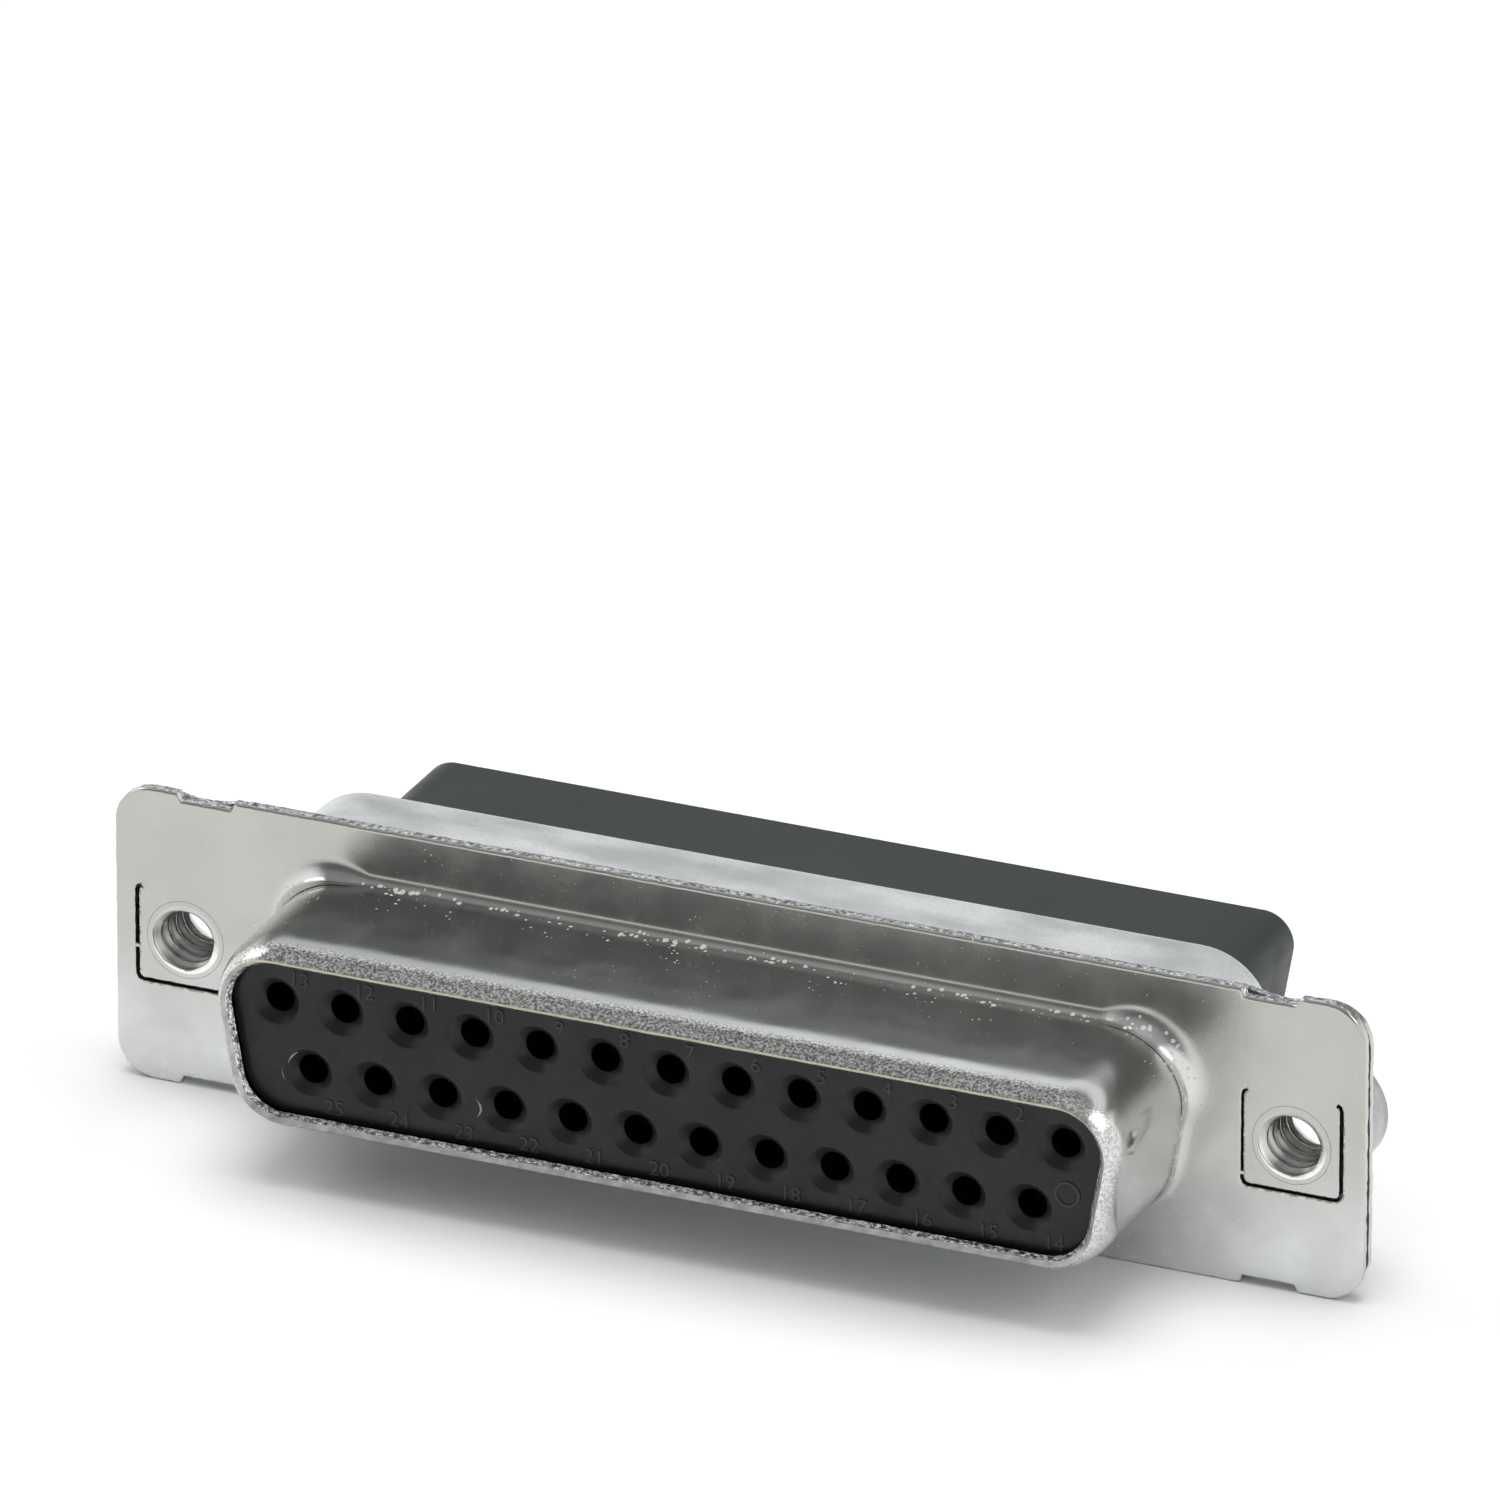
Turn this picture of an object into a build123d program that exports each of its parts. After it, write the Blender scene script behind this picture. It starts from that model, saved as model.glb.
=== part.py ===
"""A 25-way D-subminiature socket connector with a long body for crimped contacts.

Millimetres, +Z up, the mating face towards -Y. The origin is the centre of the flange's front face,
midway between the two screw holes.
"""
from build123d import *
import os
from math import cos, radians, tan

os.makedirs("parts", exist_ok=True)

# Contact pattern: a wide row over a narrow one. Every width below follows from the wide row
wide_row_count = 13
pitch = 2.77
row_spacing = 2.84
row_length = (wide_row_count - 1) * pitch

# Widths over the upper corners, from the end of the wide row outwards
tube_end_margin = 2.57
box_side_margin = 1.45
boss_side_step = 1.97
screw_side_margin = 4.33
flange_end_margin = 3.0
tube_width = row_length + 2 * tube_end_margin
box_width = tube_width + 2 * box_side_margin
boss_width = box_width - 2 * boss_side_step
screw_spacing = tube_width + 2 * screw_side_margin
flange_length = screw_spacing + 2 * flange_end_margin

# Flanges and sheet metal
sheet = 0.5
flange_height = 12.55
flange_corner = 1.6
edge_break = 0.1
rear_flange_height = 12.1
recess_end_margin = 3.94
recess_length = 2.3
recess_depth = 0.32
rear_recess_length = 3.0
rear_recess_depth = 0.25
notch_end_margin = 5.22
notch_width = 0.46

# The D tube round the mating face, with its rim bent inward
side_angle = 10.0
tube_height = 7.90
tube_corner = 2.6
tube_straight = 6.13
rim_radius = 1.4
rim_bend = 50.0
tube_base_radius = 0.45

# The D box of the rear shell, with its end turned inward
box_height = 10.72
box_corner = 3.0
box_end = 5.45
box_end_radius = 0.7
box_base_radius = 0.4

# Screw holes with their lanced tabs, and the threaded inserts in them
tab_width = 4.14
tab_height = 4.03
tab_corner = 0.3
tab_slit = 0.12
burr_length = 0.16
left_burr_place = -0.6
right_burr_place = -1.55
thread_minor_radius = 1.13
neck_radius = 1.62
mouth_radius = 0.45
barrel_radius = 2.43
barrel_end = 4.1
barrel_edge = 0.2
rear_sink_radius = 1.9
rear_sink_depth = 1.35

# Insulators
face_depth = 6.45
face_edge = 0.35
split_depth = 2.5
shoulder_edge = 0.2
boss_height = 7.70
boss_corner = 1.4
boss_end = 12.24
boss_draft = 0.5
boss_edge = 0.2

# Cavities, from the front face to the rear face
entry_radius = 0.61
entry_sink_radius = 0.975
entry_sink_angle = 82.0
entry_length = 1.9
cavity_radius = 1.0
wire_cavity_radius = 1.1
wire_cavity_depth = 7.8
wire_sink_radius = 1.2

# Socket contacts
contact_radius = 0.92
contact_bore_radius = 0.52
contact_bore_depth = 5.6
contact_lead = 0.15
slit_width = 0.22
slit_length = 4.0
collar_radius = 1.12
collar_length = 0.8
crimp_radius = 0.85
crimp_bore_radius = 0.56
crimp_bore_depth = 4.0
crimp_end = 9.0

# Clearances
insulator_clearance = 0.06
opening_clearance = 0.12
neck_clearance = 0.03
end_clearance = 0.05
collar_clearance = 0.08


def at_depth(y):
    """The X-Z plane at the given Y. It faces forward, so a positive extrusion runs towards -Y."""
    return Plane.XZ.offset(-y)


def dee(width, height, corner, inset=0.0):
    """D outline, moved inward by the inset. The width is over the upper corners; the sides lean in."""
    lean = radians(side_angle)
    half, radius = height / 2 - inset, corner - inset
    side = width / 2 - corner + radius / cos(lean)
    top, bottom = side + radius * tan(lean), side - (2 * half - radius) * tan(lean)
    with BuildSketch(mode=Mode.PRIVATE) as outline:
        with BuildLine():
            Polyline((-top, half), (top, half), (bottom, -half), (-bottom, -half), close=True)
        make_face()
        fillet(vertices(), radius)
    return outline.sketch


def level(shape, index):
    """The flat faces across Y that share one depth, counted from the front."""
    return shape.faces().filter_by(Plane.XZ).group_by(Axis.Y)[index]


# Contact places, numbered from the right end of the wide row and then of the narrow row
contact_places = [((count - 1) * pitch / 2 - i * pitch, z)
                  for count, z in ((wide_row_count, row_spacing / 2), (wide_row_count - 1, -row_spacing / 2))
                  for i in range(count)]
screw_places = {"left": -screw_spacing / 2, "right": screw_spacing / 2}
hole_radius = neck_radius + neck_clearance

# Front shell: a flange with a tube drawn forward, then its rim, recesses, screw holes and tabs
tube_full = tube_straight + rim_radius
recess_place = flange_length / 2 - recess_end_margin

with BuildPart() as front_shell:
    with BuildSketch(at_depth(sheet)):
        Rectangle(flange_length, flange_height)
        fillet(vertices(), flange_corner)
        with Locations([(x, z) for x in (-recess_place, recess_place)
                        for z in (-flange_height / 2, flange_height / 2)]):
            Rectangle(recess_length, 2 * recess_depth, mode=Mode.SUBTRACT)
        with Locations([(x, 0) for x in screw_places.values()]):
            Circle(hole_radius, mode=Mode.SUBTRACT)
    extrude(amount=sheet)
    chamfer(level(front_shell, 0)[0].outer_wire().edges(), edge_break)
    with BuildSketch(at_depth(0)):
        add(dee(tube_width, tube_height, tube_corner))
    extrude(amount=tube_full)
    fillet(level(front_shell, 0).edges(), rim_radius)
    base_loop = level(front_shell, 1)[0].inner_wires().sort_by(SortBy.LENGTH)[-1]
    fillet(base_loop.edges(), tube_base_radius)
    with BuildSketch(at_depth(sheet)):
        add(dee(tube_width, tube_height, tube_corner, sheet))
    extrude(amount=tube_full, mode=Mode.SUBTRACT)
    fillet(level(front_shell, 1).edges(), rim_radius - sheet)
    mouth_loop = level(front_shell, -1)[0].inner_wires().sort_by(SortBy.LENGTH)[-1]
    fillet(mouth_loop.edges(), tube_base_radius + sheet)
    # The rim stops partway round its bend, cut square to the sheet
    with BuildSketch(at_depth(-tube_straight)):
        add(dee(tube_width, tube_height, tube_corner, rim_radius))
    with BuildSketch(at_depth(-tube_full)):
        add(dee(tube_width, tube_height, tube_corner, rim_radius - rim_radius / tan(radians(rim_bend))))
    loft(mode=Mode.SUBTRACT)
    # Each tab is cut free at its outer side and bottom, the right one at its inner side too
    with BuildSketch(at_depth(sheet)):
        for side, x in screw_places.items():
            left, right = x - tab_width / 2, x + tab_width / 2
            slit = [(left, tab_height / 2), (left, -tab_height / 2), (right, -tab_height / 2)]
            if side == "right":
                slit.append((right, tab_height / 2))
            with BuildLine():
                FilletPolyline(*slit, radius=tab_corner)
            trace(line_width=tab_slit)
        # A burr still ties each tab across its left slit
        for side, z in (("left", left_burr_place), ("right", right_burr_place)):
            with Locations((screw_places[side] - tab_width / 2, z)):
                Rectangle(2 * tab_slit, burr_length, mode=Mode.SUBTRACT)
    extrude(amount=sheet, mode=Mode.SUBTRACT)
front_shell.part.label = "front_shell"
export_step(front_shell.part, "parts/front_shell.step")

# Rear shell: a flange against the first, with a box drawn backward
arc_radius = (rear_recess_length**2 / 4 + rear_recess_depth**2) / (2 * rear_recess_depth)
arc_offset = rear_flange_height / 2 + arc_radius - rear_recess_depth
rear_recess_place = recess_place - recess_length / 2 + rear_recess_length / 2

with BuildPart() as rear_shell:
    with BuildSketch(at_depth(2 * sheet)):
        Rectangle(flange_length, rear_flange_height)
        fillet(vertices(), flange_corner)
        with Locations([(x, z) for x in (-rear_recess_place, rear_recess_place)
                        for z in (-arc_offset, arc_offset)]):
            Circle(arc_radius, mode=Mode.SUBTRACT)
        with Locations((notch_end_margin - flange_length / 2, rear_flange_height / 2)):
            Rectangle(notch_width / 2**0.5, notch_width / 2**0.5, rotation=45, mode=Mode.SUBTRACT)
        with Locations([(x, 0) for x in screw_places.values()]):
            Circle(hole_radius, mode=Mode.SUBTRACT)
    extrude(amount=sheet)
    with BuildSketch(at_depth(2 * sheet)):
        add(dee(box_width, box_height, box_corner))
    extrude(amount=-(box_end - 2 * sheet))
    fillet(level(rear_shell, -1).edges(), box_end_radius)
    base_loop = level(rear_shell, -2)[0].inner_wires().sort_by(SortBy.LENGTH)[-1]
    fillet(base_loop.edges(), box_base_radius)
    with BuildSketch(at_depth(sheet)):
        add(dee(box_width, box_height, box_corner, sheet))
    extrude(amount=-(box_end - 2 * sheet), mode=Mode.SUBTRACT)
    fillet(level(rear_shell, -2).edges(), box_end_radius - sheet)
    mouth_loop = level(rear_shell, 0)[0].inner_wires().sort_by(SortBy.LENGTH)[-1]
    fillet(mouth_loop.edges(), box_base_radius + sheet)
    with BuildSketch(at_depth(box_end)):
        add(dee(boss_width, boss_height, boss_corner, -opening_clearance))
    extrude(amount=sheet, mode=Mode.SUBTRACT)
rear_shell.part.label = "rear_shell"
export_step(rear_shell.part, "parts/rear_shell.step")

# Front insulator: a nose in the tube, a shoulder in the box, and the contact entries
with BuildPart() as front_insulator:
    with BuildSketch(at_depth(sheet)):
        add(dee(tube_width, tube_height, tube_corner, sheet + insulator_clearance))
    extrude(amount=face_depth + sheet)
    fillet(level(front_insulator, 0).edges(), face_edge)
    with BuildSketch(at_depth(split_depth)):
        add(dee(box_width, box_height, box_corner, sheet + insulator_clearance))
    extrude(amount=split_depth - sheet)
    with Locations([Plane((x, -face_depth, z), z_dir=(0, -1, 0)) for x, z in contact_places]):
        CounterSinkHole(entry_radius, entry_sink_radius, entry_length, entry_sink_angle)
    with Locations([Plane((x, split_depth, z), z_dir=(0, 1, 0)) for x, z in contact_places]):
        Hole(cavity_radius, split_depth + face_depth - entry_length)
front_insulator.part.label = "front_insulator"
export_step(front_insulator.part, "parts/front_insulator.step")

# Rear insulator: a shoulder against the front one, and the long boss with the wire cavities
collar_pocket_radius = collar_radius + collar_clearance
collar_pocket_depth = collar_length + 2 * end_clearance

with BuildPart() as rear_insulator:
    with BuildSketch(at_depth(box_end - sheet - end_clearance)):
        add(dee(box_width, box_height, box_corner, sheet + insulator_clearance))
    extrude(amount=box_end - sheet - end_clearance - split_depth)
    chamfer(level(rear_insulator, -1).edges(), shoulder_edge)
    with BuildSketch(at_depth(split_depth)):
        add(dee(boss_width, boss_height, boss_corner))
    extrude(amount=-(boss_end - split_depth), taper=boss_draft)
    fillet(level(rear_insulator, -1).edges(), boss_edge)
    with Locations([Plane((x, boss_end, z), z_dir=(0, 1, 0)) for x, z in contact_places]):
        CounterSinkHole(wire_cavity_radius, wire_sink_radius, wire_cavity_depth, 90)
        Hole(cavity_radius, boss_end - split_depth)
    with Locations([Plane((x, split_depth, z), z_dir=(0, -1, 0)) for x, z in contact_places]):
        Hole(collar_pocket_radius, collar_pocket_depth)
rear_insulator.part.label = "rear_insulator"
export_step(rear_insulator.part, "parts/rear_insulator.step")

# Threaded inserts: a neck through both flanges, flared at its mouth, and a barrel behind them
for side, x in screw_places.items():
    with BuildPart() as insert:
        with BuildSketch():
            with BuildLine():
                lip = thread_minor_radius + mouth_radius
                Line((x + neck_radius, 0), (x + lip, 0))
                RadiusArc((x + lip, 0), (x + thread_minor_radius, mouth_radius), -mouth_radius)
                Polyline((x + thread_minor_radius, mouth_radius),
                         (x + thread_minor_radius, barrel_end - rear_sink_depth),
                         (x + rear_sink_radius, barrel_end),
                         (x + barrel_radius - barrel_edge, barrel_end),
                         (x + barrel_radius, barrel_end - barrel_edge),
                         (x + barrel_radius, 2 * sheet),
                         (x + neck_radius, 2 * sheet),
                         (x + neck_radius, 0))
            make_face()
        revolve(axis=Axis((x, 0, 0), (0, 1, 0)))
    insert.part.label = f"threaded_insert_{side}"
    export_step(insert.part, f"parts/{insert.part.label}.step")

# Socket contacts: a slit socket, a collar held between the insulators, and a crimp barrel
contact_tip = entry_length - face_depth + end_clearance
collar_start = split_depth + end_clearance
collar_stop = collar_start + collar_length

for number, (x, z) in enumerate(contact_places, start=1):
    with BuildPart() as contact:
        with BuildSketch(Plane((x, 0, z))):
            with BuildLine():
                Polyline((contact_bore_radius + contact_lead, contact_tip),
                         (contact_radius - contact_lead, contact_tip),
                         (contact_radius, contact_tip + contact_lead),
                         (contact_radius, collar_start),
                         (collar_radius, collar_start),
                         (collar_radius, collar_stop),
                         (crimp_radius, collar_stop),
                         (crimp_radius, crimp_end),
                         (crimp_bore_radius, crimp_end),
                         (crimp_bore_radius, crimp_end - crimp_bore_depth),
                         (0, crimp_end - crimp_bore_depth),
                         (0, contact_tip + contact_bore_depth),
                         (contact_bore_radius, contact_tip + contact_bore_depth),
                         (contact_bore_radius, contact_tip + contact_lead), close=True)
            make_face()
        revolve(axis=Axis((x, 0, z), (0, 1, 0)))
        with Locations((x, contact_tip + slit_length / 2, z)):
            Box(3 * contact_radius, slit_length, slit_width, mode=Mode.SUBTRACT)
    contact.part.label = f"socket_contact_{number:02d}"
    export_step(contact.part, f"parts/{contact.part.label}.step")
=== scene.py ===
import math
import random

import bmesh
import bpy
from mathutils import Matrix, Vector, noise


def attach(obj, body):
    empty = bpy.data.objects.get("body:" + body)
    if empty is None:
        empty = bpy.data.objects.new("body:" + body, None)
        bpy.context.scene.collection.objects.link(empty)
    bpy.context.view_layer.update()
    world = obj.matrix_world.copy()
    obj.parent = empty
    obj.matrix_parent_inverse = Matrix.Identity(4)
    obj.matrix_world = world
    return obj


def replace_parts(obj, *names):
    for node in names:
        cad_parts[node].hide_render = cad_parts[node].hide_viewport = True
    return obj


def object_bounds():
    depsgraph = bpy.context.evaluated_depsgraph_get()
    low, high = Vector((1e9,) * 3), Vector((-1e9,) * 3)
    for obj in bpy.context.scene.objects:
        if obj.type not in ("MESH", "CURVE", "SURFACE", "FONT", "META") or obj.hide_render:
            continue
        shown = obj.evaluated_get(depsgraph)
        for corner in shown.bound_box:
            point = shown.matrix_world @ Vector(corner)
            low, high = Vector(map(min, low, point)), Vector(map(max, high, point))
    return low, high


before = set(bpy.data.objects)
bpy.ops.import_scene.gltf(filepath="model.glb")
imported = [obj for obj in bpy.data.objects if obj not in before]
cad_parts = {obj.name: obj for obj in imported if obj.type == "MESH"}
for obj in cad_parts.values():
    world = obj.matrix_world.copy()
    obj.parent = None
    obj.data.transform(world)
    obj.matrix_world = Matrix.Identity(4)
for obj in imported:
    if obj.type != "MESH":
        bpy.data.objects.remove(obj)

cad_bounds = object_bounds()
mm = 0.001

# The front insulator is one black moulding that fills the tube. Each pin enters through a funnel and a
# round hole in its face. The contact numbers and a plain ring stand a little proud of the face.
sheet = 0.5
insulator_inset = sheet + 0.06
face_depth, face_edge, split_depth = 6.45, 0.35, 2.5
side_angle = 10
tube_size = (38.38, 7.90, 2.6)
box_size = (41.28, 10.72, 3.0)
pitch, row_spacing, wide_row_count = 2.77, 2.84, 13
entry_places = [((count - 1) * pitch / 2 - i * pitch, z)
                for count, z in ((wide_row_count, row_spacing / 2), (wide_row_count - 1, -row_spacing / 2))
                for i in range(count)]
entry_sizes = {"Collar radius": 1.12, "Lip radius": 1.0, "Sink radius": 0.97, "Entry radius": 0.61,
               "Cavity radius": 1.0, "Flat": 0.0005, "Lip depth": 0.015, "Sink depth": 0.4,
               "Entry length": 1.4835, "Cavity length": split_depth + face_depth - 1.9 - 0.0005}
entry_steps = (("Collar radius", "Lip radius", "Flat"), ("Lip radius", "Sink radius", "Lip depth"),
               ("Sink radius", "Entry radius", "Sink depth"),
               ("Entry radius", "Entry radius", "Entry length"),
               ("Entry radius", "Cavity radius", "Flat"), ("Cavity radius", "Cavity radius", "Cavity length"),
               ("Cavity radius", "Collar radius", "Flat"))


def start_material(name, color, roughness, metallic=0.0):
    """A material with these plain values, with its nodes, links, shader and place on the object."""
    material = bpy.data.materials.new(name)
    material.use_nodes = True
    nodes, links = material.node_tree.nodes, material.node_tree.links
    shader = nodes["Principled BSDF"]
    shader.inputs["Base Color"].default_value = (*color, 1)
    shader.inputs["Roughness"].default_value = roughness
    shader.inputs["Metallic"].default_value = metallic
    place = nodes.new("ShaderNodeTexCoord")
    return material, nodes, links, shader, place.outputs["Object"]


def add_noise(nodes, links, place, size, detail=2.0, stretch=(1, 1, 1)):
    """A noise whose grains are about the given size in millimetres."""
    mapping = nodes.new("ShaderNodeMapping")
    mapping.inputs["Scale"].default_value = stretch
    links.new(place, mapping.inputs["Vector"])
    texture = nodes.new("ShaderNodeTexNoise")
    texture.inputs["Scale"].default_value = 1 / (size * mm)
    texture.inputs["Detail"].default_value = detail
    links.new(mapping.outputs["Vector"], texture.inputs["Vector"])
    return texture.outputs["Fac"]


def add_range(nodes, links, value, low, high, new_low, new_high):
    """The value's part from low to high, spread over a new range and held at its ends."""
    spread = nodes.new("ShaderNodeMapRange")
    for socket, number in zip(("From Min", "From Max", "To Min", "To Max"), (low, high, new_low, new_high)):
        spread.inputs[socket].default_value = number
    links.new(value, spread.inputs["Value"])
    return spread.outputs["Result"]


def add_mix(nodes, links, share, first, second):
    """A colour between two, by the share."""
    mix = nodes.new("ShaderNodeMix")
    mix.data_type = "RGBA"
    for socket, color in ((mix.inputs[6], first), (mix.inputs[7], second)):
        if isinstance(color, tuple):
            socket.default_value = (*color, 1)
        else:
            links.new(color, socket)
    links.new(share, mix.inputs[0])
    return mix.outputs[2]


def add_math(nodes, links, operation, first, second):
    """Two numbers or sockets put together."""
    step = nodes.new("ShaderNodeMath")
    step.operation = operation
    for socket, value in zip(step.inputs, (first, second)):
        if isinstance(value, (int, float)):
            socket.default_value = value
        else:
            links.new(value, socket)
    return step.outputs[0]


def add_bump(nodes, links, shader, height, distance, before=None):
    """Relief of the given distance in millimetres, on top of another relief if one is given."""
    bump = nodes.new("ShaderNodeBump")
    bump.inputs["Distance"].default_value = distance * mm
    links.new(height, bump.inputs["Height"])
    if before:
        links.new(before, bump.inputs["Normal"])
    links.new(bump.outputs["Normal"], shader.inputs["Normal"])
    return bump.outputs["Normal"]


def dee(size, inset=0.0, arc=18, side=10, top=96):
    """Points of a D outline, moved inward by the inset: each corner's arc and the run to the next corner."""
    width, height, corner = size
    lean = math.radians(side_angle)
    high = width / 2 - corner
    low = high - (height - 2 * corner) * math.tan(lean)
    rise = height / 2 - corner
    radius = corner - inset
    corners = ((low, -rise, -90, -side_angle), (high, rise, -side_angle, 90),
               (-high, rise, 90, 180 + side_angle), (-low, -rise, 180 + side_angle, 270))
    points = []
    for i, (x, z, start, stop) in enumerate(corners):
        turns = [math.radians(start + (stop - start) * k / arc) for k in range(arc + 1)]
        points += [(x + radius * math.cos(t), z + radius * math.sin(t)) for t in turns]
        next_x, next_z, next_start, _ = corners[(i + 1) % 4]
        turn = math.radians(next_start)
        end_x, end_z = next_x + radius * math.cos(turn), next_z + radius * math.sin(turn)
        begin_x, begin_z = points[-1]
        steps = side if i % 2 == 0 else top
        points += [(begin_x + (end_x - begin_x) * k / steps, begin_z + (end_z - begin_z) * k / steps)
                   for k in range(1, steps)]
    return points


def circle(x, z, radius, count=64):
    """Points round a circle."""
    turns = [2 * math.pi * k / count for k in range(count)]
    return [(x + radius * math.cos(t), z + radius * math.sin(t)) for t in turns]


def add_loop(mesh, points, y):
    """A loop of points at one depth."""
    return [mesh.verts.new((x * mm, y * mm, z * mm)) for x, z in points]


def wall(mesh, loops, material=0):
    """Faces between each closed loop and the next, in the order of their points."""
    faces = []
    for first, second in zip(loops, loops[1:]):
        for k in range(len(first)):
            after = (k + 1) % len(first)
            faces.append(mesh.faces.new((first[k], first[after], second[after], second[k])))
            faces[-1].material_index = material
    return faces


def ring(mesh, loop):
    """The edges round a closed loop of points."""
    return [mesh.edges.get(pair) or mesh.edges.new(pair) for pair in zip(loop, loop[1:] + loop[:1])]


def fill(mesh, edges):
    """A flat face inside the outermost closed ring of edges and outside the others."""
    bmesh.ops.triangle_fill(mesh, use_beauty=True, edges=edges)


def finish_piece(name, mesh, materials, sharp=40):
    """The mesh as a piece that rides on the one body, smooth but for edges sharper than the angle."""
    bmesh.ops.remove_doubles(mesh, verts=mesh.verts, dist=0.0001 * mm)
    bmesh.ops.recalc_face_normals(mesh, faces=mesh.faces)
    data = bpy.data.meshes.new(name)
    mesh.to_mesh(data)
    mesh.free()
    for material in materials:
        data.materials.append(material)
    data.shade_smooth()
    data.set_sharp_from_angle(angle=math.radians(sharp))
    piece = bpy.data.objects.new(name, data)
    bpy.context.scene.collection.objects.link(piece)
    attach(piece, "root")
    return piece


def make_lining_tree(steps, material):
    """At each point, a lining of rings one behind the other, each from its front to its back radius."""
    tree = bpy.data.node_groups.new("pin_entries", "GeometryNodeTree")
    tree.interface.new_socket("Geometry", in_out="INPUT", socket_type="NodeSocketGeometry")
    tree.interface.new_socket("Geometry", in_out="OUTPUT", socket_type="NodeSocketGeometry")
    for label in entry_sizes:
        tree.interface.new_socket(label, in_out="INPUT", socket_type="NodeSocketFloat")
    nodes, links = tree.nodes, tree.links
    given, result = nodes.new("NodeGroupInput"), nodes.new("NodeGroupOutput")
    join = nodes.new("GeometryNodeJoinGeometry")
    depth = 0.0
    for front, back, length in steps:
        band = nodes.new("GeometryNodeMeshCone")
        band.fill_type = "NONE"
        band.inputs["Vertices"].default_value = 48
        links.new(given.outputs[front], band.inputs["Radius Bottom"])
        links.new(given.outputs[back], band.inputs["Radius Top"])
        links.new(given.outputs[length], band.inputs["Depth"])
        shift = nodes.new("ShaderNodeCombineXYZ")
        if depth:
            links.new(depth, shift.inputs["Y"])
        move = nodes.new("GeometryNodeTransform")
        move.inputs["Rotation"].default_value = (-math.pi / 2, 0, 0)
        links.new(shift.outputs["Vector"], move.inputs["Translation"])
        links.new(band.outputs["Mesh"], move.inputs["Geometry"])
        links.new(move.outputs["Geometry"], join.inputs["Geometry"])
        depth = add_math(nodes, links, "ADD", depth, given.outputs[length])
    weld = nodes.new("GeometryNodeMergeByDistance")
    weld.inputs["Distance"].default_value = 0.0001 * mm
    links.new(join.outputs["Geometry"], weld.inputs["Geometry"])
    spread = nodes.new("GeometryNodeInstanceOnPoints")
    links.new(given.outputs["Geometry"], spread.inputs["Points"])
    links.new(weld.outputs["Geometry"], spread.inputs["Instance"])
    realize = nodes.new("GeometryNodeRealizeInstances")
    links.new(spread.outputs["Instances"], realize.inputs["Geometry"])
    paint = nodes.new("GeometryNodeSetMaterial")
    paint.inputs["Material"].default_value = material
    links.new(realize.outputs["Geometry"], paint.inputs["Geometry"])
    links.new(paint.outputs["Geometry"], result.inputs["Geometry"])
    return tree


def grow_at_points(points, tree, sizes):
    """A plain mesh of what the tree makes at the points, with its named sizes in millimetres."""
    data = bpy.data.meshes.new("points")
    data.from_pydata([Vector(point) * mm for point in points], [], [])
    seed = bpy.data.objects.new("points", data)
    bpy.context.scene.collection.objects.link(seed)
    modifier = seed.modifiers.new("grow", "NODES")
    modifier.node_group = tree
    for item in tree.interface.items_tree:
        if item.in_out == "INPUT" and item.name in sizes:
            modifier[item.identifier] = sizes[item.name] * mm
    grown = bpy.data.meshes.new_from_object(seed.evaluated_get(bpy.context.evaluated_depsgraph_get()))
    bpy.data.objects.remove(seed)
    return grown


def raise_digits(mesh, words, x, z, y, height, proud, turned=False):
    """Plain digits that stand proud of a flat face at that depth. Turned, they face backward."""
    curve = bpy.data.curves.new("digits", "FONT")
    curve.body = words
    curve.align_x, curve.align_y = "CENTER", "CENTER"
    curve.extrude, curve.resolution_u = 0.5, 3
    holder = bpy.data.objects.new("digits", curve)
    digits = bpy.data.meshes.new_from_object(holder)
    bpy.data.objects.remove(holder)
    size, way = height / 0.7, -1 if turned else 1
    for vertex in digits.vertices:
        across, up, out = vertex.co
        depth = y - way * (proud * (out + 0.5) - 0.01)
        vertex.co = Vector((x + way * across * size, depth, z + up * size)) * mm
    mesh.from_mesh(digits)


black_plastic, nodes, links, shader, place = start_material("black_plastic", (0.013, 0.015, 0.015), 0.42)
axes = nodes.new("ShaderNodeSeparateXYZ")
links.new(place, axes.inputs["Vector"])
# sunk marks the funnels, which are painted a little lighter than the face, as painted light, and made glossier.
sunk = add_range(nodes, links, axes.outputs["Y"],
                 (-face_depth + 0.01) * mm, (-face_depth + 0.06) * mm, 0.0, 1.0)
cloud = add_range(nodes, links, add_noise(nodes, links, place, 3.5, 4), 0.35, 0.65, 0.0, 1.0)
color = add_mix(nodes, links, cloud, (0.010, 0.012, 0.012), (0.021, 0.024, 0.023))
# Deeper than the funnels, inside the holes, the moulding is painted near black: painted shade.
inside = add_range(nodes, links, axes.outputs["Y"],
                   (-face_depth + 0.38) * mm, (-face_depth + 0.45) * mm, 0.0, 1.0)
color = add_mix(nodes, links, sunk, color, (0.021, 0.024, 0.023))
links.new(add_mix(nodes, links, inside, color, (0.003, 0.003, 0.003)), shader.inputs["Base Color"])
even = add_range(nodes, links, add_noise(nodes, links, place, 0.4, 4), 0.35, 0.65, 0.34, 0.5)
links.new(add_math(nodes, links, "MULTIPLY", even, add_range(nodes, links, sunk, 0.0, 1.0, 1.0, 0.85)),
          shader.inputs["Roughness"])
shader.inputs["Specular IOR Level"].default_value = 0.33
texture = add_bump(nodes, links, shader, add_noise(nodes, links, place, 0.12, 3), 0.004)
add_bump(nodes, links, shader, add_noise(nodes, links, place, 1.4, 2), 0.012, texture)

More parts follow.
